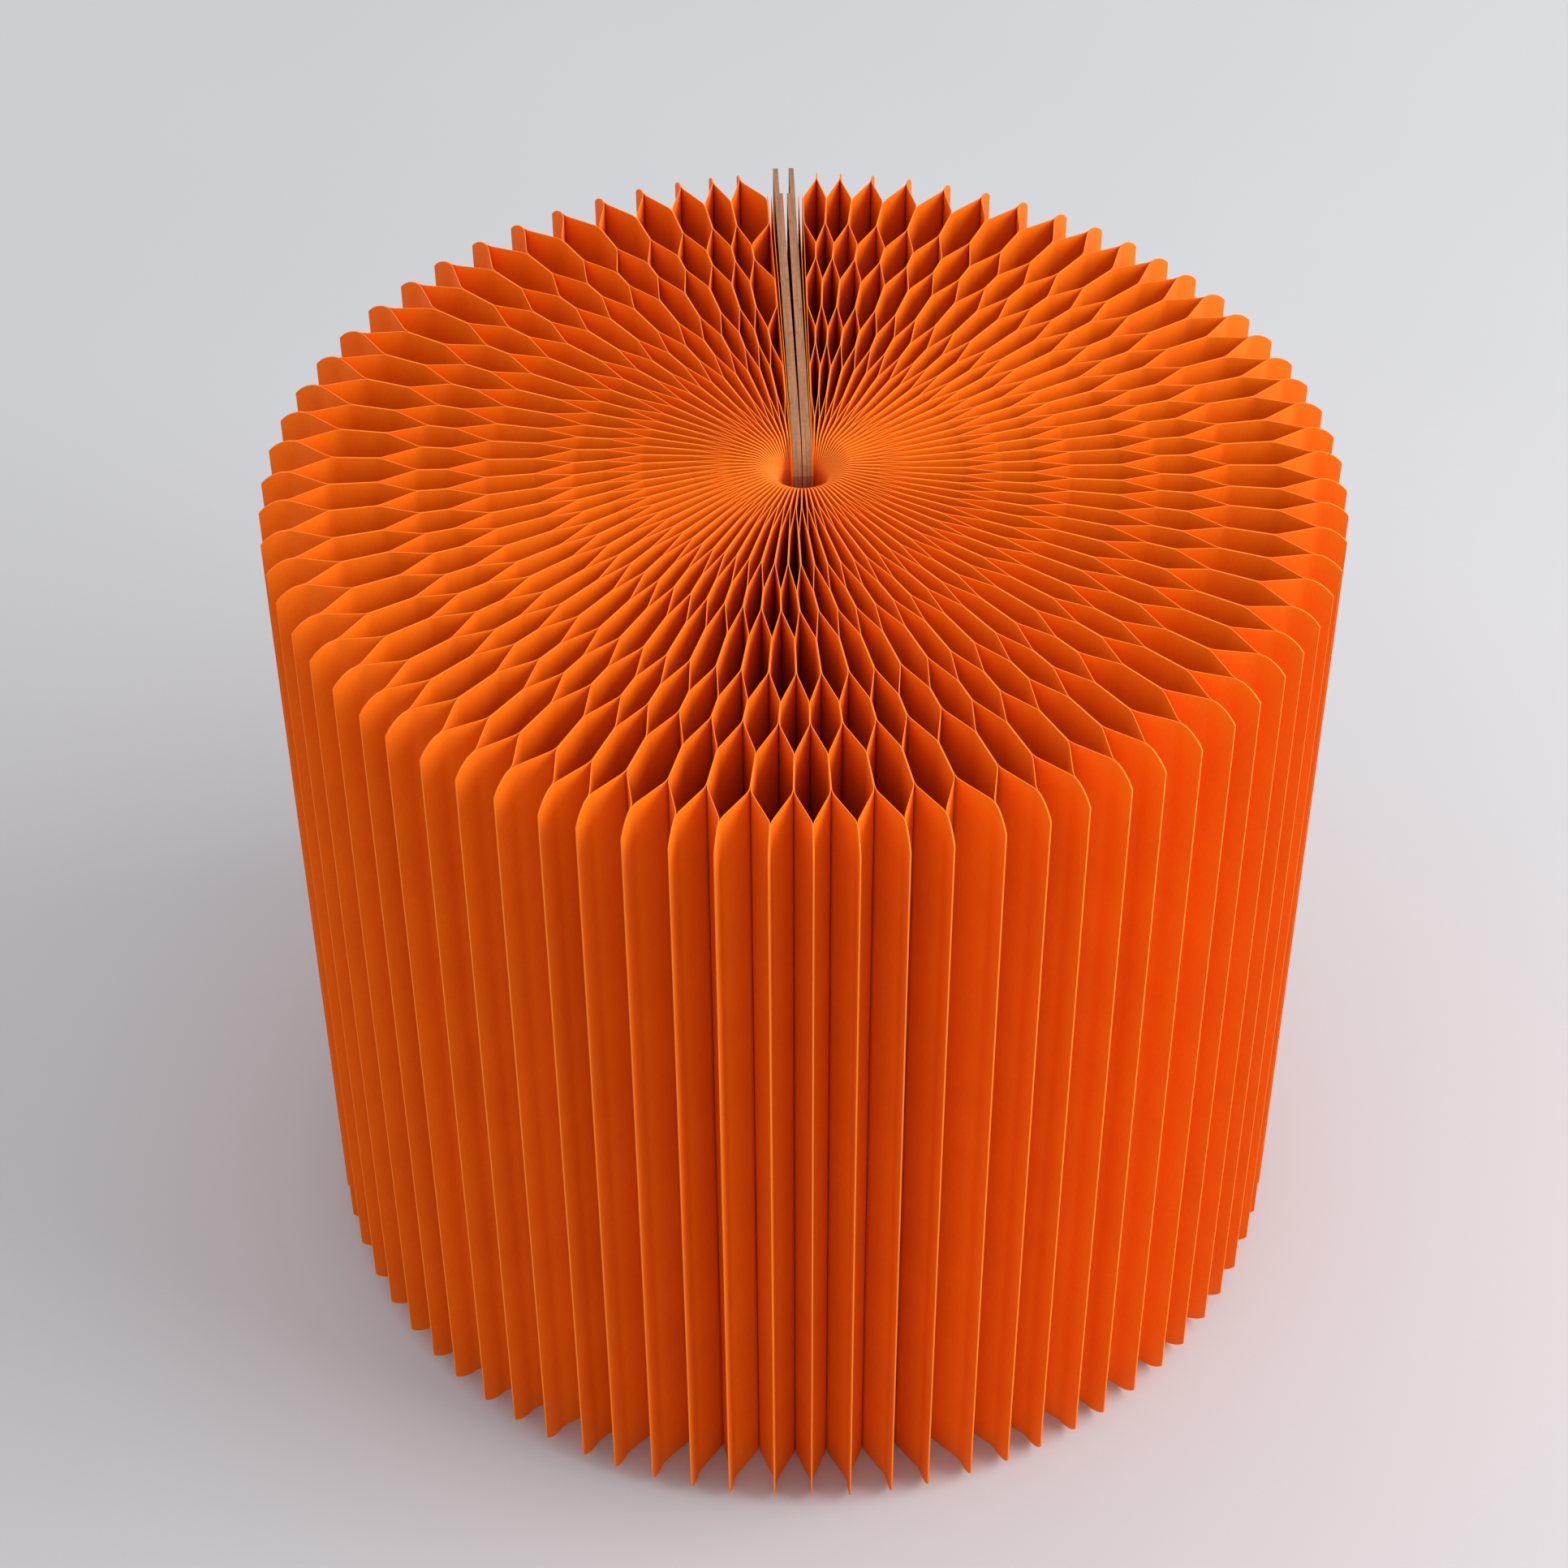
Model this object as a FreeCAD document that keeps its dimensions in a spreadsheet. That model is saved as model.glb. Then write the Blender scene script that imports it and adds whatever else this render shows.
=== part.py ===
import FreeCAD, Part
import math
import os

import Sketcher

# A honeycomb-paper drum that fans open from a flat block and stands on its lower edges. Millimetres.
# Frame: +Z up, origin on the floor under the middle of the drum, seam between the two end boards at +Y.
#
# 150 equal paper sheets stand on edge round a small central hole. Stripes of glue bond each sheet to its
# two neighbours in turn: "tip" stripes join sheets 2k and 2k+1 and show as the outer ribs, and "valley"
# stripes, halfway between, join sheets 2k+1 and 2k+2. Beyond the first and the last sheet, two flat ones
# line each stiff end board, glued to it at the hole. A strip on each board's other side closes the seam.
# Angles round the drum are measured from -Y (the front), positive towards +X (the right).

SIZES = {
    "drum_height": 275,
    "tip_radius": 150,  # ring of the outer ribs, about its own centre
    "ring_lead": 3,  # how far the middle of that ring lies in front of the axis of the central hole
    "tip_count": 75,
    "tips_per_leaf": 3,
    "sheet_thickness": 0.2,
    "glue_film": 0.01,
    "hub_radius": 6.8,
    "stripe_period": 43.2,  # from one tip stripe to the next, along the sheet
    "tip_stripe": 8.4,
    "valley_stripe": 13.8,
    "crease_radius": 6,
    "corner_run": 6,  # the rounded outer corners of a sheet, at the top and the bottom
    "corner_drop": 4.1,
    "corner_radius": 10,
    "mouth_run": 6.5,  # the rounded inner corners, which make a funnel round the hole
    "mouth_drop": 7,
    "mouth_corner_radius": 9,
    "narrowing": 1.06,  # how much narrower the cells near the boards are
    "narrowing_reach": 1.6,  # over how many cells that fades
    "left_gap": 0.69,  # extra width of the first and the last cell, in cells
    "right_gap": 0.33,
    "gap_reach": 0.3,
    "lopsidedness": 0.118,  # how much wider the widest cells are, as the drum doesn't open quite evenly
    "second_lopsidedness": 0.05,  # and its half-turn part
    "widest_place": 6.1,  # where those are, in cells from the left lining
    "unevenness": 0.05,  # how far a rib strays from even spacing, as a share of one cell
    "board_thickness": 1.5,
    "board_start": 2.5,  # from the axis of the hole to the boards' inner ends
    "board_end": 144.8,
    "board_corner_run": 10,  # a board's inner corners are rounded too, and its outer ones are square
    "board_corner_drop": 7.5,
    "board_corner_radius": 11,
    "seam_gap": 2.1,  # between the boards, beside the hole
    "seam_splay": 0.24,  # degrees that each board leans away from the seam
    "strip_thickness": 0.95,  # the closure strips, one on each board's seam side
    "strip_end": 131.3,  # from the axis of the hole to their outer ends
    "lining_step": 0.24,  # board to the first lining sheet's far face, and on to the second's, at the hole
    "lining_lean": 0.4,  # degrees that each of them leans further away from the board
    "lining_end": 130,
    "trim_margin": 1.5,
}
LINING_SHEETS = 2  # on each board
SHEETS_PER_NODE = 3
NODE_LETTERS = "ab"
SHARP_TURN = math.radians(3)  # a turn below this keeps a plain corner
SPREAD_DEPTH = 0.5  # the even spacing at the hole turns uneven over this share of the way out
STRAY_WAVES = ((1.0, 2.4, 0.0), (0.8, 1.1, 1.0))  # the uneven spacing: share, radians per cell, start

doc = FreeCAD.newDocument("honeycomb_drum")
sizes = doc.addObject("Spreadsheet::Sheet", "Sizes")
for row, (alias, value) in enumerate(SIZES.items(), start=1):
    sizes.set(f"A{row}", alias)
    sizes.set(f"B{row}", str(value))
    sizes.setAlias(f"B{row}", alias)
doc.recompute()


def size(alias):
    return float(sizes.get(alias))


height = size("drum_height")
tip_radius = size("tip_radius")
ring_lead = size("ring_lead")
tip_count = int(size("tip_count"))
thickness = size("sheet_thickness")
hub_radius = size("hub_radius")
bond_step = thickness + size("glue_film")  # between the middles of two bonded sheets

# From the seam plane to the outer faces of a strip, a board and the last lining sheet, at the hole.
strip_face = size("seam_gap") / 2
board_face = strip_face + size("board_thickness")
lining_face = board_face + LINING_SHEETS * size("lining_step")
lining_lean = math.radians(size("seam_splay") + LINING_SHEETS * size("lining_lean"))

# The ribs reach further forward than they reach back, so the hole stands a little behind the origin.
hub_y = ring_lead


# ---- Where the ribs and valleys lie -------------------------------------------------------------------


def fan_share(place, spread):
    """Share of the fan, 0 to 1, up to a place counted in cells from the left lining.

    spread: 0 for the even spacing at the hole, 1 for the uneven spacing further out.
    """

    def reach_in(cells, reach):
        return 1 - math.exp(-cells / reach)

    def beside_boards(cells, reach, left, right):
        return reach_in(cells, reach) * left + (1 - reach_in(tip_count - cells, reach)) * right

    def swing(cells, times, share):
        rate = times * 2 * math.pi / tip_count
        widest = size("widest_place")
        return share / rate * (math.sin(rate * (cells - widest)) + math.sin(rate * widest))

    def width_to(cells):
        narrowed = size("narrowing") * size("narrowing_reach")
        uneven = beside_boards(cells, size("gap_reach"), size("left_gap"), size("right_gap"))
        uneven -= beside_boards(cells, size("narrowing_reach"), narrowed, narrowed)
        uneven += swing(cells, 1, size("lopsidedness")) + swing(cells, 2, size("second_lopsidedness"))
        return cells + spread * uneven

    return width_to(place) / width_to(tip_count)


def stray(place):
    """Uneven spacing of a rib or valley, in cells. It vanishes at the linings."""
    fade = math.sin(math.pi * place / tip_count)
    waves = sum(share * math.sin(rate * place + start) for share, rate, start in STRAY_WAVES)
    return size("unevenness") * fade * waves


def lining_angle(radius):
    """Angle between the seam plane and a point of the lining's face, this far from the hole's axis."""
    return lining_lean + math.asin(lining_face * math.cos(lining_lean) / radius)


def fan_point(place, radius):
    """Point of the fan, in plan.

    place: cells from the left lining, 0 to tip_count. radius: from the hole's axis, on an even drum.
    """
    outward = (radius - hub_radius) / (tip_radius - hub_radius)
    spread = min(1.0, outward / SPREAD_DEPTH)
    turn = 2 * fan_share(place + stray(place) * outward, spread) - 1
    reach = tip_radius + ring_lead * math.cos(math.pi * turn)
    true_radius = radius * (1 + (reach / tip_radius - 1) * outward)
    angle = turn * (math.pi - lining_angle(true_radius))
    return FreeCAD.Vector(true_radius * math.sin(angle), hub_y - true_radius * math.cos(angle), 0)


def stripes():
    """Glue stripes from the hole outwards: (is a tip stripe, inner radius, outer radius)."""
    found = []
    is_tip = True
    middle = tip_radius - size("tip_stripe") / 2
    while middle > hub_radius:
        half_width = size("tip_stripe" if is_tip else "valley_stripe") / 2
        found.append((is_tip, middle - half_width, middle + half_width))
        middle -= size("stripe_period") / 2
        is_tip = not is_tip
    # the innermost stripe runs on to the hole
    innermost_is_tip, _, innermost_outer = found.pop()
    return [(innermost_is_tip, hub_radius, innermost_outer), *reversed(found)]


STRIPES = stripes()


def sheet_route(sheet):
    """Corners of a sheet's middle line in plan, from the hole to the rib, two for each stripe."""
    route = []
    for is_tip, inner, outer in STRIPES:
        if is_tip:
            place = sheet // 2 + 0.5
            side = -1 if sheet % 2 == 0 else 1
        else:
            place = (sheet + 1) // 2
            side = 1 if sheet % 2 == 0 else -1
        start = fan_point(place, inner)
        end = fan_point(place, outer)
        along = (end - start).normalize()
        across = FreeCAD.Vector(-along.y, along.x, 0) * side * bond_step / 2
        route += [start + across, end + across]
    return route


# ---- A sheet as a solid -------------------------------------------------------------------------------


def left_of(direction):
    return FreeCAD.Vector(-direction.y, direction.x, 0)


def corner_edges(before, corner, after, offset):
    """How an outline left of the route passes a corner: (point in, middle or None, point out)."""
    arriving = (corner - before).normalize()
    leaving = (after - corner).normalize()
    turn = math.atan2(arriving.x * leaving.y - arriving.y * leaving.x, arriving.dot(leaving))
    if abs(turn) < SHARP_TURN:
        mitre = (left_of(arriving) + left_of(leaving)).normalize()
        point = corner + mitre * (offset / math.cos(turn / 2))
        return point, None, point
    radius = size("crease_radius")
    setback = radius * math.tan(abs(turn) / 2)
    inwards = 1 if turn > 0 else -1
    arc_start = corner - arriving * setback
    centre = arc_start + left_of(arriving) * inwards * radius
    to_middle = (corner - centre).normalize() * (radius - inwards * offset)
    point_in = arc_start + left_of(arriving) * offset
    point_out = corner + leaving * setback + left_of(leaving) * offset
    return point_in, centre + to_middle, point_out


def side_edges(route, offset):
    """Lines and arcs of one side of the sheet, from the hole outwards."""
    first = route[0] + left_of((route[1] - route[0]).normalize()) * offset
    last = route[-1] + left_of((route[-1] - route[-2]).normalize()) * offset
    edges = []
    here = first
    for before, corner, after in zip(route, route[1:], route[2:]):
        point_in, middle, point_out = corner_edges(before, corner, after, offset)
        edges.append(Part.LineSegment(here, point_in).toShape())
        if middle is not None:
            edges.append(Part.Arc(point_in, middle, point_out).toShape())
        here = point_out
    edges.append(Part.LineSegment(here, last).toShape())
    return edges, first, last


def sheet_solid(sheet):
    route = sheet_route(sheet)
    left, left_first, left_last = side_edges(route, thickness / 2)
    right, right_first, right_last = side_edges(route, -thickness / 2)
    outer_edge = Part.LineSegment(left_last, right_last).toShape()
    inner_edge = Part.LineSegment(right_first, left_first).toShape()
    outline = Part.Wire([*left, outer_edge, *reversed(right), inner_edge])
    return Part.Face(outline).extrude(FreeCAD.Vector(0, 0, height))


# ---- The rings that round the sheets' corners ---------------------------------------------------------


def fix(sketch, kind, *where_and_formula):
    """Adds one dimension to the sketch, bound to the spreadsheet."""
    *where, formula = where_and_formula
    number = sketch.addConstraint(Sketcher.Constraint(kind, *where, sketch.evalExpression(formula)))
    sketch.setExpression(f"Constraints[{number}]", formula)


def corner_arc(start, end, radius):
    """Arc from start to end that bulges to the left of the way from end to start."""
    towards = (end - start).normalize()
    rise = math.sqrt(radius**2 - ((end - start).Length / 2) ** 2)
    centre = (start + end) / 2 - left_of(towards) * rise
    angles = [math.atan2(point.y - centre.y, point.x - centre.x) for point in (end, start)]
    return Part.ArcOfCircle(Part.Circle(centre, FreeCAD.Vector(0, 0, 1), radius), *angles)


def trimmer(name, on_top, at_side, beyond, radius_name, axis_y):
    """Ring that is cut from the sheets; its hollow side is their corner arc, at the top and the bottom.

    on_top and at_side are the formulas of the arc's two ends, each (radius, height).
    beyond is the formula of the radius of the ring's far side.
    """
    profile = doc.addObject("Sketcher::SketchObject", f"{name}_profile")
    # the sketch plane is XZ, so that the profile can turn about the ring's own upright axis
    profile.Placement = FreeCAD.Placement(FreeCAD.Vector(), FreeCAD.Rotation(FreeCAD.Vector(1, 0, 0), 90))
    formulas = [
        on_top,
        (on_top[0], "Sizes.drum_height + Sizes.trim_margin"),
        (beyond, "Sizes.drum_height + Sizes.trim_margin"),
        (beyond, at_side[1]),
        at_side,
    ]
    values = [[float(profile.evalExpression(formula)) for formula in pair] for pair in formulas]
    corners = [FreeCAD.Vector(x, z, 0) for x, z in values]
    for start, end in zip(corners, corners[1:]):
        profile.addGeometry(Part.LineSegment(start, end))
    outwards = corners[-1].x > corners[0].x
    ends = (corners[0], corners[-1]) if outwards else (corners[-1], corners[0])
    profile.addGeometry(corner_arc(*ends, size(radius_name)))
    arc = 4
    arc_on_top, arc_at_side = (2, 1) if outwards else (1, 2)
    for line in range(3):
        profile.addConstraint(Sketcher.Constraint("Coincident", line, 2, line + 1, 1))
    profile.addConstraint(Sketcher.Constraint("Coincident", 3, 2, arc, arc_at_side))
    profile.addConstraint(Sketcher.Constraint("Coincident", arc, arc_on_top, 0, 1))
    profile.addConstraint(Sketcher.Constraint("Vertical", 0))
    profile.addConstraint(Sketcher.Constraint("Horizontal", 1))
    profile.addConstraint(Sketcher.Constraint("Vertical", 2))
    profile.addConstraint(Sketcher.Constraint("Horizontal", 3))
    fix(profile, "DistanceX", -1, 1, 0, 1, on_top[0])
    fix(profile, "DistanceY", -1, 1, 0, 1, on_top[1])
    fix(profile, "DistanceX", -1, 1, arc, arc_at_side, at_side[0])
    fix(profile, "DistanceY", -1, 1, arc, arc_at_side, at_side[1])
    fix(profile, "DistanceX", -1, 1, 1, 2, beyond)
    fix(profile, "DistanceY", -1, 1, 1, 2, "Sizes.drum_height + Sizes.trim_margin")
    fix(profile, "Radius", arc, f"Sizes.{radius_name}")

    upper = doc.addObject("Part::Revolution", f"upper_{name}")
    upper.Source = profile
    upper.Axis = FreeCAD.Vector(0, 0, 1)
    upper.Angle = 360
    upper.Solid = True
    upper.Placement.Base = FreeCAD.Vector(0, axis_y, 0)
    lower = doc.addObject("Part::Mirroring", f"lower_{name}")
    lower.Source = upper
    lower.Normal = FreeCAD.Vector(0, 0, 1)
    lower.setExpression("Base.z", "Sizes.drum_height / 2")
    return [upper, lower]


def corner_trimmer():
    """The outer rings, about the drum's middle, and the inner ones, about the hole's axis, as one tool."""
    outer = trimmer(
        "outer_ring",
        ("Sizes.tip_radius - Sizes.corner_run", "Sizes.drum_height"),
        ("Sizes.tip_radius", "Sizes.drum_height - Sizes.corner_drop"),
        "Sizes.tip_radius + Sizes.trim_margin",
        "corner_radius",
        hub_y - ring_lead,
    )
    inner = trimmer(
        "mouth_ring",
        ("Sizes.hub_radius + Sizes.mouth_run", "Sizes.drum_height"),
        ("Sizes.hub_radius", "Sizes.drum_height - Sizes.mouth_drop"),
        "Sizes.hub_radius - Sizes.trim_margin",
        "mouth_corner_radius",
        hub_y,
    )
    every = doc.addObject("Part::MultiFuse", "corner_trimmer")
    every.Shapes = [*outer, *inner]
    return every


# ---- Pieces -------------------------------------------------------------------------------------------


def paper_node(label, sheets, tool):
    """Separate sheets that share a node, with their corners rounded. Each sheet takes its own curve."""
    node = doc.addObject("Part::Feature", label)
    node.Label = label
    rounded = [sheet_solid(sheet).cut(tool.Shape).Solids[0] for sheet in sheets]
    node.Shape = Part.makeCompound(rounded)
    node.Placement = FreeCAD.Placement()
    return node


def upright_piece(label, side, far_face, lean, thickness_name, end_name):
    """Flat piece that stands in the seam, with rounded inner corners and square outer ones.

    side: 1 for the right half of the seam, -1 for the left. far_face: from the seam plane to the face away
    from it, at the hole. lean: degrees that it leans away from the seam.
    """
    body = doc.addObject("PartDesign::Body", label)
    body.Label = label
    plane = next(feature for feature in body.Origin.OriginFeatures if feature.Role == "YZ_Plane")
    sketch = body.newObject("Sketcher::SketchObject", f"{label}_sketch")
    sketch.AttachmentSupport = [(plane, "")]
    sketch.MapMode = "FlatFace"
    length = size(end_name) - size("board_start")
    run = size("board_corner_run")
    drop = size("board_corner_drop")
    outline = [(0, drop), (run, 0), (length, 0), (length, height), (run, height), (0, height - drop)]
    corners = [FreeCAD.Vector(*at, 0) for at in outline]
    lower_side, lower_end, outer_low, outer_high, upper_end, upper_side = corners
    radius = size("board_corner_radius")
    sketch.addGeometry(corner_arc(lower_end, lower_side, radius))
    sketch.addGeometry(Part.LineSegment(lower_end, outer_low))
    sketch.addGeometry(Part.LineSegment(outer_low, outer_high))
    sketch.addGeometry(Part.LineSegment(outer_high, upper_end))
    sketch.addGeometry(corner_arc(upper_side, upper_end, radius))
    sketch.addGeometry(Part.LineSegment(upper_side, lower_side))
    joined = [(0, 2, 1, 1), (1, 2, 2, 1), (2, 2, 3, 1), (3, 2, 4, 1), (4, 2, 5, 1), (5, 2, 0, 1)]
    for ends in joined:
        sketch.addConstraint(Sketcher.Constraint("Coincident", *ends))
    for line, way in ((1, "Horizontal"), (2, "Vertical"), (3, "Horizontal"), (5, "Vertical")):
        sketch.addConstraint(Sketcher.Constraint(way, line))
    sketch.addConstraint(Sketcher.Constraint("PointOnObject", 5, 1, -2))
    sketch.addConstraint(Sketcher.Constraint("PointOnObject", 1, 1, -1))
    fix(sketch, "DistanceX", -1, 1, 1, 1, "Sizes.board_corner_run")
    fix(sketch, "DistanceY", -1, 1, 5, 2, "Sizes.board_corner_drop")
    fix(sketch, "DistanceX", -1, 1, 2, 1, f"Sizes.{end_name} - Sizes.board_start")
    fix(sketch, "DistanceY", 2, 1, 2, 2, "Sizes.drum_height")
    fix(sketch, "DistanceX", -1, 1, 3, 2, "Sizes.board_corner_run")
    fix(sketch, "DistanceY", 5, 1, 3, 2, "Sizes.board_corner_drop")
    fix(sketch, "Radius", 0, "Sizes.board_corner_radius")
    fix(sketch, "Radius", 4, "Sizes.board_corner_radius")
    pad = body.newObject("PartDesign::Pad", f"{label}_pad")
    pad.Profile = sketch
    pad.setExpression("Length", f"Sizes.{thickness_name}")
    # the sketch's plane is the face away from the seam
    pad.Reversed = side > 0
    body.Tip = pad
    turn = FreeCAD.Rotation(FreeCAD.Vector(0, 0, 1), -side * lean)
    outwards = turn.multVec(FreeCAD.Vector(0, 1, 0))
    at = FreeCAD.Vector(side * far_face, hub_y, 0) + outwards * size("board_start")
    body.Placement = FreeCAD.Placement(at, turn)
    return body


def seam_pieces(name, side):
    """One half of the seam: the closure strip, the board and the sheets that line it."""
    splay = size("seam_splay")
    pieces = [
        upright_piece(f"{name}_closure_strip", side, strip_face, splay, "strip_thickness", "strip_end"),
        upright_piece(f"{name}_end_board", side, board_face, splay, "board_thickness", "board_end"),
    ]
    for layer in range(1, LINING_SHEETS + 1):
        face = board_face + layer * size("lining_step")
        lean = splay + layer * size("lining_lean")
        label = f"{name}_lining_sheet_{layer}"
        pieces.append(upright_piece(label, side, face, lean, "sheet_thickness", "lining_end"))
    return pieces


def leaf_nodes(tool):
    """The sheets in leaves of a few ribs each, from the left lining round the front to the right one."""
    per_leaf = 2 * int(size("tips_per_leaf"))
    nodes = []
    for leaf in range(2 * tip_count // per_leaf):
        first = leaf * per_leaf
        for part, letter in enumerate(NODE_LETTERS):
            start = first + part * SHEETS_PER_NODE
            sheets = range(start, start + SHEETS_PER_NODE)
            nodes.append(paper_node(f"paper_leaf_{leaf + 1:02d}{letter}", sheets, tool))
    return nodes


def check(nodes):
    for obj in doc.Objects:
        if "Invalid" in obj.State or "Error" in obj.State:
            raise RuntimeError(f"{obj.Name} failed: {obj.State}")
    for node in nodes:
        shape = node.Shape
        if shape.isNull() or not shape.isValid():
            raise RuntimeError(f"{node.Label} has no valid shape")
        expected = SHEETS_PER_NODE if node.Label.startswith("paper") else 1
        if len(shape.Solids) != expected:
            raise RuntimeError(f"{node.Label} has {len(shape.Solids)} solids, not {expected}")


pieces = seam_pieces("left", -1) + seam_pieces("right", 1)
ring = corner_trimmer()
doc.recompute()
pieces += leaf_nodes(ring)
doc.recompute()
check(pieces)
os.makedirs("parts", exist_ok=True)
for piece in pieces:
    piece.Shape.exportStep(f"parts/{piece.Label}.step")
whole = Part.makeCompound([piece.Shape for piece in pieces])
print("nodes", len(pieces), "solids", len(whole.Solids), "box", whole.BoundBox)
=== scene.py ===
import math

import bpy
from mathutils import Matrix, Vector


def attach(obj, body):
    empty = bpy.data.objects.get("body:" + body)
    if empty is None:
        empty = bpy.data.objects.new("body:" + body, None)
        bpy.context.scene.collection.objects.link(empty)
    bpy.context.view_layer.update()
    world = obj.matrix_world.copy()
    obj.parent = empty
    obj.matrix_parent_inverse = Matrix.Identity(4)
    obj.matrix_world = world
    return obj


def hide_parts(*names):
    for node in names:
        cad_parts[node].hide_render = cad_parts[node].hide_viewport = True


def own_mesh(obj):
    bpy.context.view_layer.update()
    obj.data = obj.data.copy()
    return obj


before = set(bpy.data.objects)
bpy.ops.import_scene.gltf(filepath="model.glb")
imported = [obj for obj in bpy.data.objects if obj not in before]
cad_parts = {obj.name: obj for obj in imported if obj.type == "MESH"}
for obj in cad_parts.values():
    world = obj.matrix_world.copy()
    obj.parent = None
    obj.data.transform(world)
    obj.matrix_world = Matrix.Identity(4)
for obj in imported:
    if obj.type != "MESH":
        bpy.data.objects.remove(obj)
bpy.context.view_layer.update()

# A honeycomb-paper drum: 75 ribs of two bonded sheets each. On each side of the seam at the rear stands a
# stiff end board, with a closure strip on its seam side and two flat lining sheets on its paper side.
# The ribs are made here, in millimetres, from the CAD part's sizes. The pieces beside the seam are the
# CAD part's own.

MM = 0.001
HEIGHT = 275.0
TIP_RADIUS = 150.0
RING_LEAD = 3.0  # how far the middle of the ring of tips is in front of the hole's middle
RIBS = 75
RIBS_PER_LEAF = 3
THICKNESS = 0.2
BOND_STEP = 0.21  # between the middle lines of two bonded sheets
HUB = (0.0, RING_LEAD)  # the hole's middle
HUB_RADIUS = 6.8
STRIPE_PERIOD = 43.2
TIP_STRIPE = 8.4
VALLEY_STRIPE = 13.8
CREASE_RADIUS = 6.0

# How the cells share the turn, in cells: they are widest at the left rear and narrow beside the boards.
NARROWING, NARROWING_REACH = 1.06, 1.6
LEFT_GAP, RIGHT_GAP, GAP_REACH = 0.69, 0.33, 0.3  # between the linings and the first and last ribs
SWINGS = ((1, 0.118), (2, 0.05))  # swings in a full turn, and the share of each
WIDEST_PLACE = 6.1
SPREAD_DEPTH = 0.5  # the part of the way out over which the unevenness grows to its full amount
UNEVENNESS = 0.05  # of single ribs
STRAY_WAVES = ((1.0, 2.4, 0.0), (0.8, 1.1, 1.0))  # share, rate and start of each wave

LINING_LEAN = math.radians(1.04)  # of the second lining sheet's face, away from the seam plane
LINING_FACE = 3.03  # from the seam plane to that face, at the hole

OUTER_CORNER = (6.0, 4.1, 10.0)  # run, drop and arc radius
MOUTH_CORNER = (6.5, 7.0, 9.0)

SHARP_TURN = math.radians(3)  # corners that turn by less than this get no curve
CREASE_STEPS = 4
CORNER_STEPS = 7
CORNER_CROWDING = 1.3  # above 1, the mesh columns of the outer corner crowd towards the tip
ROWS = (14.0, 60.0, 137.5, 215.0, 261.0)  # heights of the mesh rows between a sheet's two edges
SMOOTH_UP_TO = math.radians(50)

FLOOR_HALF = 6.0  # metres
FLOOR_DROP = 0.0002  # metres


# ---- Plan of the sheets ----


def fan_share(place, spread):
    """The share of the turn up to a place, counted in cells from the left board.

    spread is how uneven the cells are, 0 to 1.
    """

    def beside_boards(cells, reach, left, right):
        return (1 - math.exp(-cells / reach)) * left + math.exp((cells - RIBS) / reach) * right

    def swing(cells, swings, share):
        rate = swings * 2 * math.pi / RIBS
        return share / rate * (math.sin(rate * (cells - WIDEST_PLACE)) + math.sin(rate * WIDEST_PLACE))

    def width_to(cells):
        narrowed = NARROWING * NARROWING_REACH
        uneven = beside_boards(cells, GAP_REACH, LEFT_GAP, RIGHT_GAP)
        uneven -= beside_boards(cells, NARROWING_REACH, narrowed, narrowed)
        uneven += sum(swing(cells, swings, share) for swings, share in SWINGS)
        return cells + spread * uneven

    return width_to(place) / width_to(RIBS)


def stray(place):
    """How far a rib at this place strays sideways at its tip, in cells."""
    fade = math.sin(math.pi * place / RIBS)
    waves = sum(share * math.sin(rate * place + start) for share, rate, start in STRAY_WAVES)
    return UNEVENNESS * fade * waves


def lining_angle(radius):
    """The angle, seen from the hole, from the seam plane to the second lining's face at this radius."""
    return LINING_LEAN + math.asin(LINING_FACE * math.cos(LINING_LEAN) / radius)


def fan_point(place, radius):
    """The plan's point at a place, counted in cells, and a radius, stretched to meet the ring of tips."""
    outward = (radius - HUB_RADIUS) / (TIP_RADIUS - HUB_RADIUS)
    spread = min(1.0, outward / SPREAD_DEPTH)
    turn = 2 * fan_share(place + stray(place) * outward, spread) - 1
    reach = TIP_RADIUS + RING_LEAD * math.cos(math.pi * turn)
    true_radius = radius * (1 + (reach / TIP_RADIUS - 1) * outward)
    angle = turn * (math.pi - lining_angle(true_radius))
    return Vector((HUB[0] + true_radius * math.sin(angle), HUB[1] - true_radius * math.cos(angle)))


def left_of(direction):
    return Vector((-direction.y, direction.x))


def stripes():
    """Glue stripes from the hole outwards: (is a tip stripe, inner radius, outer radius).

    A tip stripe bonds the two sheets of a rib, and the others bond a rib to the next.
    """
    found = []
    is_tip = True
    middle = TIP_RADIUS - TIP_STRIPE / 2
    while middle > HUB_RADIUS:
        half = (TIP_STRIPE if is_tip else VALLEY_STRIPE) / 2
        found.append((is_tip, middle - half, middle + half))
        middle -= STRIPE_PERIOD / 2
        is_tip = not is_tip
    innermost_is_tip, _, innermost_outer = found.pop()
    return [(innermost_is_tip, HUB_RADIUS, innermost_outer), *reversed(found)]


STRIPES = stripes()


def sheet_route(sheet):
    """Corners of a sheet's middle line, two for each stripe."""
    route = []
    for is_tip, inner, outer in STRIPES:
        if is_tip:
            place = sheet // 2 + 0.5
            side = -1 if sheet % 2 == 0 else 1
        else:
            place = (sheet + 1) // 2
            side = 1 if sheet % 2 == 0 else -1
        start, end = fan_point(place, inner), fan_point(place, outer)
        across = left_of((end - start).normalized()) * side * BOND_STEP / 2
        route += [start + across, end + across]
    return route


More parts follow.
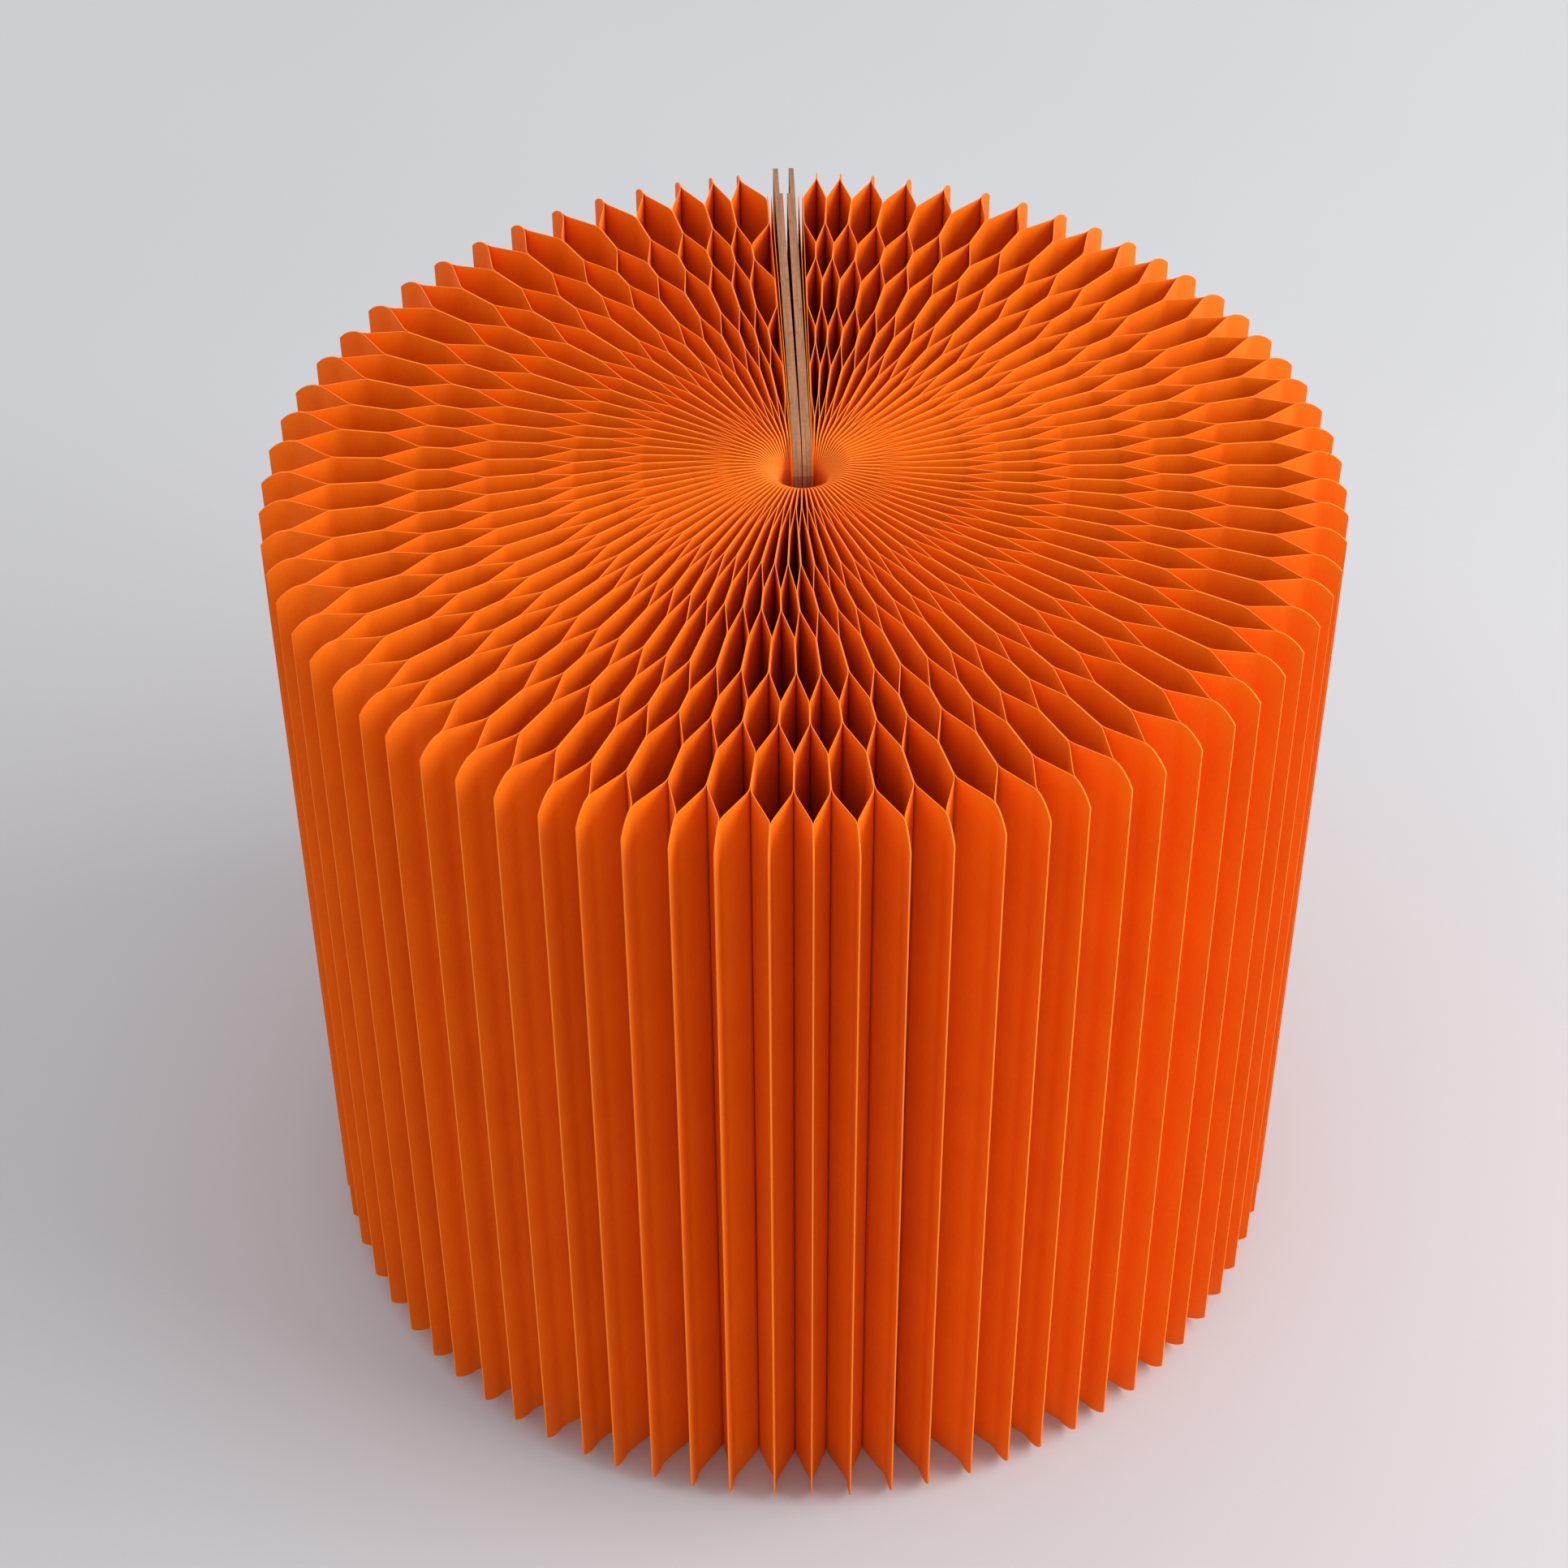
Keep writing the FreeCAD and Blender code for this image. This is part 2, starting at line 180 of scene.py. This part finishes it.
def columns(route):
    """Points along the sheet with the direction to its left, and soft curves where it creases."""
    first_way = (route[1] - route[0]).normalized()
    mouth_run = MOUTH_CORNER[0]
    found = []
    for i in range(CORNER_STEPS + 1):
        found.append((route[0] + first_way * mouth_run * i / CORNER_STEPS, left_of(first_way)))
    for before, corner, after in zip(route, route[1:], route[2:]):
        arriving, leaving = (corner - before).normalized(), (after - corner).normalized()
        turn = math.atan2(arriving.x * leaving.y - arriving.y * leaving.x, arriving.dot(leaving))
        if abs(turn) < SHARP_TURN:
            mitre = (left_of(arriving) + left_of(leaving)).normalized()
            found.append((corner, mitre / math.cos(turn / 2)))
            continue
        setback = CREASE_RADIUS * math.tan(abs(turn) / 2)
        inwards = 1 if turn > 0 else -1
        centre = corner - arriving * setback + left_of(arriving) * inwards * CREASE_RADIUS
        for i in range(CREASE_STEPS + 1):
            part = turn * i / CREASE_STEPS
            way = Vector(
                (
                    arriving.x * math.cos(part) - arriving.y * math.sin(part),
                    arriving.x * math.sin(part) + arriving.y * math.cos(part),
                )
            )
            found.append((centre - left_of(way) * inwards * CREASE_RADIUS, left_of(way)))
    last_way = (route[-1] - route[-2]).normalized()
    outer_run = OUTER_CORNER[0]
    for i in range(CORNER_STEPS, -1, -1):
        crowded = (i / CORNER_STEPS) ** CORNER_CROWDING
        found.append((route[-1] - last_way * outer_run * crowded, left_of(last_way)))
    return found


def arc_drop(distance, corner):
    """How far a rounded corner has dropped at this distance from the sheet's end."""
    run, drop, radius = corner
    if distance >= run:
        return 0.0
    half = math.hypot(run, drop) / 2
    rise = math.sqrt(radius**2 - half**2)
    # in the corner's own plane, x runs away from the sheet's end and y down
    # the arc goes through (run, 0) and (0, drop)
    centre_x = run / 2 + rise * drop / (2 * half)
    centre_y = drop / 2 + rise * run / (2 * half)
    x = max(distance, 0.0)
    return centre_y - math.sqrt(max(radius**2 - (x - centre_x) ** 2, 0.0))


def edge_drop(point):
    """How far a sheet's upper edge is below the top here, and its lower edge above the floor."""
    from_tip = TIP_RADIUS - point.length
    from_mouth = (point - Vector(HUB)).length - HUB_RADIUS
    return max(arc_drop(from_tip, OUTER_CORNER), arc_drop(from_mouth, MOUTH_CORNER))


# ---- Meshes ----


def sheet_mesh(sheet, verts, faces, is_edge):
    """Adds one sheet as a closed thin solid."""
    line = columns(sheet_route(sheet))
    rows = len(ROWS) + 2
    base = len(verts)
    for point, left in line:
        drop = edge_drop(point)
        heights = (drop, *ROWS, HEIGHT - drop)
        for sign in (1, -1):
            at = point + left * (sign * THICKNESS / 2)
            verts.extend((at.x * MM, at.y * MM, z * MM) for z in heights)

    def index(column, sign, row):
        return base + (column * 2 + (0 if sign > 0 else 1)) * rows + row

    def add(a, b, c, d, edge):
        faces.append((a, b, c, d))
        is_edge.append(edge)

    count = len(line)
    for c in range(count - 1):
        for r in range(rows - 1):
            add(index(c, 1, r), index(c, 1, r + 1), index(c + 1, 1, r + 1), index(c + 1, 1, r), False)
            add(index(c, -1, r), index(c + 1, -1, r), index(c + 1, -1, r + 1), index(c, -1, r + 1), False)
        top = rows - 1
        add(index(c, 1, top), index(c, -1, top), index(c + 1, -1, top), index(c + 1, 1, top), True)
        add(index(c, 1, 0), index(c + 1, 1, 0), index(c + 1, -1, 0), index(c, -1, 0), True)
    for r in range(rows - 1):
        add(index(0, 1, r), index(0, -1, r), index(0, -1, r + 1), index(0, 1, r + 1), True)
        end = count - 1
        add(index(end, 1, r), index(end, 1, r + 1), index(end, -1, r + 1), index(end, -1, r), True)


def new_rib(name, verts, faces, is_edge):
    mesh = bpy.data.meshes.new(name)
    mesh.from_pydata(verts, [], faces)
    mesh.materials.append(card)
    mesh.materials.append(cut_edge)
    mesh.polygons.foreach_set("material_index", [int(edge) for edge in is_edge])
    mesh.polygons.foreach_set("use_smooth", [True] * len(faces))
    mesh.update()
    mesh.set_sharp_from_angle(angle=SMOOTH_UP_TO)
    obj = bpy.data.objects.new(name, mesh)
    bpy.context.scene.collection.objects.link(obj)
    return obj


# ---- Materials ----


def node_material(name, roughness, specular):
    """A material, its tree, its Principled node and the object's own coordinates."""
    material = bpy.data.materials.new(name)
    material.use_nodes = True
    tree = material.node_tree
    shader = tree.nodes["Principled BSDF"]
    shader.inputs["Roughness"].default_value = roughness
    shader.inputs["Specular IOR Level"].default_value = specular
    place = tree.nodes.new("ShaderNodeTexCoord")
    return material, tree, shader, place.outputs["Object"]


def stretched(tree, source, scale):
    mapping = tree.nodes.new("ShaderNodeMapping")
    mapping.inputs["Scale"].default_value = scale
    tree.links.new(source, mapping.inputs["Vector"])
    return mapping.outputs["Vector"]


def noise(tree, source, scale, detail, rough=0.55):
    node = tree.nodes.new("ShaderNodeTexNoise")
    node.inputs["Scale"].default_value = scale
    node.inputs["Detail"].default_value = detail
    node.inputs["Roughness"].default_value = rough
    tree.links.new(source, node.inputs["Vector"])
    return node.outputs["Fac"]


def ramp(tree, factor, stops):
    node = tree.nodes.new("ShaderNodeValToRGB")
    while len(node.color_ramp.elements) < len(stops):
        node.color_ramp.elements.new(0.5)
    for element, (position, colour) in zip(node.color_ramp.elements, stops):
        element.position = position
        element.color = (*colour, 1.0)
    tree.links.new(factor, node.inputs["Fac"])
    return node.outputs["Color"]


def multiplied(tree, first, second):
    node = tree.nodes.new("ShaderNodeMix")
    node.data_type = "RGBA"
    node.blend_type = "MULTIPLY"
    node.inputs["Factor"].default_value = 1.0
    tree.links.new(first, node.inputs["A"])
    tree.links.new(second, node.inputs["B"])
    return node.outputs["Result"]


def bump(tree, shader, height, strength, distance):
    node = tree.nodes.new("ShaderNodeBump")
    node.inputs["Strength"].default_value = strength
    node.inputs["Distance"].default_value = distance
    tree.links.new(height, node.inputs["Height"])
    tree.links.new(node.outputs["Normal"], shader.inputs["Normal"])


def paper_material():
    """Through-dyed card: faint clouds, smoother where they are light, and a fine felt of fibres."""
    material, tree, shader, place = node_material("orange_card", 0.68, 0.16)
    cloud = noise(tree, place, 45, 3)
    fibre = noise(tree, stretched(tree, place, (1.0, 1.0, 0.35)), 1500, 4, 0.65)
    base = ramp(tree, cloud, ((0.30, (0.87, 0.160, 0.0022)), (0.72, (0.92, 0.184, 0.0032))))
    felt = ramp(tree, fibre, ((0.28, (0.94, 0.92, 0.90)), (0.70, (1.0, 1.0, 1.0))))
    tree.links.new(multiplied(tree, base, felt), shader.inputs["Base Color"])
    roughness = ramp(tree, cloud, ((0.3, (0.72,) * 3), (0.75, (0.62,) * 3)))
    tree.links.new(roughness, shader.inputs["Roughness"])
    bump(tree, shader, fibre, 0.12, 0.00006)
    return material


def edge_material():
    """The cut edge of the card, paler and rougher where the knife has opened the fibres."""
    material, tree, shader, place = node_material("orange_card_cut_edge", 0.8, 0.2)
    cut = noise(tree, place, 2400, 3, 0.7)
    colour = ramp(tree, cut, ((0.30, (0.93, 0.19, 0.012)), (0.70, (0.97, 0.245, 0.03))))
    tree.links.new(colour, shader.inputs["Base Color"])
    bump(tree, shader, cut, 0.25, 0.00005)
    return material


def board_material(name, tones):
    """Brown board: faint layers along its cut edges, fibres and specks. tones: dark, middle, light."""
    material, tree, shader, place = node_material(name, 0.85, 0.2)
    layers = noise(tree, stretched(tree, place, (1.0, 0.03, 0.03)), 2600, 3, 0.6)
    fibre = noise(tree, place, 900, 5, 0.7)
    speck = noise(tree, place, 260, 2, 0.5)
    base = ramp(tree, layers, tuple(zip((0.30, 0.52, 0.75), tones)))
    felt = ramp(tree, fibre, ((0.30, (0.80, 0.78, 0.76)), (0.68, (1.0, 1.0, 1.0))))
    flecks = ramp(tree, speck, ((0.30, (0.84, 0.80, 0.76)), (0.40, (1.0, 1.0, 1.0))))
    toned = multiplied(tree, multiplied(tree, base, felt), flecks)
    tree.links.new(toned, shader.inputs["Base Color"])
    bump(tree, shader, fibre, 0.3, 0.0001)
    return material


def floor_material():
    material, tree, shader, place = node_material("pale_table", 0.75, 0.2)
    cloud = noise(tree, place, 3, 2)
    colour = ramp(tree, cloud, ((0.3, (0.500, 0.506, 0.520)), (0.7, (0.515, 0.521, 0.535))))
    tree.links.new(colour, shader.inputs["Base Color"])
    return material


# ---- Pieces ----

card = paper_material()
cut_edge = edge_material()
greyboard = board_material(
    "greyboard", ((0.25, 0.115, 0.055), (0.34, 0.165, 0.085), (0.41, 0.205, 0.11))
)
brown_strip = board_material(
    "brown_strip", ((0.32, 0.125, 0.062), (0.42, 0.170, 0.085), (0.48, 0.2, 0.105))
)

for rib in range(RIBS):
    verts, faces, is_edge = [], [], []
    for sheet in (2 * rib, 2 * rib + 1):
        sheet_mesh(sheet, verts, faces, is_edge)
    obj = new_rib(f"rib_{rib + 1:02d}", verts, faces, is_edge)
    leaf = rib // RIBS_PER_LEAF + 1
    in_leaf = rib % RIBS_PER_LEAF - 1
    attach(obj, f"leaf_{leaf:02d}")
    # the middle rib of a leaf has one sheet in each of the leaf's two nodes
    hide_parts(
        *(f"paper_leaf_{leaf:02d}{letter}" for letter in {-1: "a", 0: "ab", 1: "b"}[in_leaf])
    )
    # the leaf's middle at the hole and at the ring of tips, and a mesh of the rib's own
    middle = RIBS_PER_LEAF * (leaf - 0.5)
    inner, outer = fan_point(middle, HUB_RADIUS), fan_point(middle, TIP_RADIUS)
    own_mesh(obj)

for side, way in (("left", -1), ("right", 1)):
    for name, material, slot in (
        (f"{side}_end_board", greyboard, "board"),
        (f"{side}_closure_strip", brown_strip, "strip"),
        (f"{side}_lining_sheet_1", card, "paper"),
        (f"{side}_lining_sheet_2", card, "paper"),
    ):
        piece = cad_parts[name]
        piece.data.materials.clear()
        piece.data.materials.append(material)
        if slot == "paper":
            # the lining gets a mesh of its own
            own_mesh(piece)

# ---- Floor, light and camera ----

floor_corners = [(x * FLOOR_HALF, y * FLOOR_HALF, 0) for x, y in ((-1, -1), (1, -1), (1, 1), (-1, 1))]
floor_mesh = bpy.data.meshes.new("table_top")
floor_mesh.from_pydata(floor_corners, [], [(0, 1, 2, 3)])
floor_mesh.materials.append(floor_material())
table_top = bpy.data.objects.new("table_top", floor_mesh)
table_top.location.z = -FLOOR_DROP
bpy.context.scene.collection.objects.link(table_top)

world = bpy.data.worlds.new("room")
bpy.context.scene.world = world
world.use_nodes = True
sky = world.node_tree.nodes["Background"]
sky.inputs["Color"].default_value = (0.96, 0.97, 1.0, 1.0)
sky.inputs["Strength"].default_value = 0.97


def lamp(name, at, aim, width, watts, colour):
    light = bpy.data.lights.new(name, "AREA")
    light.size = width
    light.energy = watts
    light.color = colour
    obj = bpy.data.objects.new(name, light)
    obj.location = at
    obj.rotation_euler = (Vector(aim) - Vector(at)).to_track_quat("-Z", "Y").to_euler()
    bpy.context.scene.collection.objects.link(obj)


lamp("window", (1.5, -0.3, 1.0), (0.0, 0.0, 0.14), 1.4, 33, (1.0, 0.99, 0.97))

# the camera was fitted to the photograph
camera_data = bpy.data.cameras.new("camera")
camera_data.sensor_width = 36
camera_data.lens = 80.577
camera = bpy.data.objects.new("camera", camera_data)
camera.location = (-0.03187, -0.76363, 0.87717)
camera.rotation_euler = [math.radians(a) for a in (46.6123, 0.1987, -2.1499)]
bpy.context.scene.collection.objects.link(camera)
bpy.context.scene.camera = camera
bpy.context.scene.view_settings.view_transform = "Standard"
